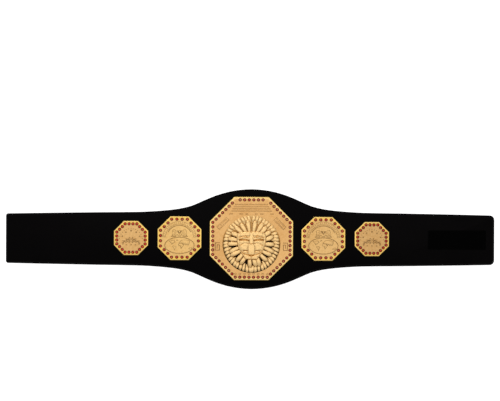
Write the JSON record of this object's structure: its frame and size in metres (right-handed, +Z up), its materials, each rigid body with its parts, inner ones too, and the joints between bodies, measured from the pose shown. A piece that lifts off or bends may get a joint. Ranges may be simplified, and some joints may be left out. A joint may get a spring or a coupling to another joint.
{
  "type": "championship belt",
  "caption": "Black leather waist strap with a wide belly, octagonal gold plates bordered with red stones, a cast lion mask on the middle plate and hook-and-loop ends.",
  "frame": {"origin": "under the middle of the strap, on the surface that the belt lies on with its plates up", "axes": "+X along the strap towards the end with the loop patch, +Y towards the top edges of the plates, +Z up out of the plates' faces"},
  "size_m": [1.27, 0.26, 0.0195],
  "materials": {
    "strap_leather": "black grained leather, semi-matt, cut edges dyed black",
    "gold_plate": "gold-plated, satin field with polished edges",
    "cast_gold": "gold-plated casting, satin with dark grooves",
    "red_stone": "cut red glass, polished",
    "screw_metal": "brass-plated steel, brushed",
    "loop_pile": "black napped loop pile",
    "hook_tape": "black hook tape"
  },
  "bodies": {
    "root": {"strap": "strap_leather", "loop_patch": "loop_pile", "hook_patch": "hook_tape", "main_plate": "gold_plate", "main_plate_screw_1": "screw_metal", "main_plate_screw_2": "screw_metal", "main_plate_screw_3": "screw_metal", "main_plate_screw_4": "screw_metal", "lion_mask": "cast_gold", "left_middle_plate": "gold_plate", "left_middle_plate_screw_1": "screw_metal", "left_middle_plate_screw_2": "screw_metal", "right_middle_plate": "gold_plate", "right_middle_plate_screw_1": "screw_metal", "right_middle_plate_screw_2": "screw_metal", "left_end_plate": "gold_plate", "left_end_plate_screw_1": "screw_metal", "left_end_plate_screw_2": "screw_metal", "right_end_plate": "gold_plate", "right_end_plate_screw_1": "screw_metal", "right_end_plate_screw_2": "screw_metal"}
  },
  "joints": []
}
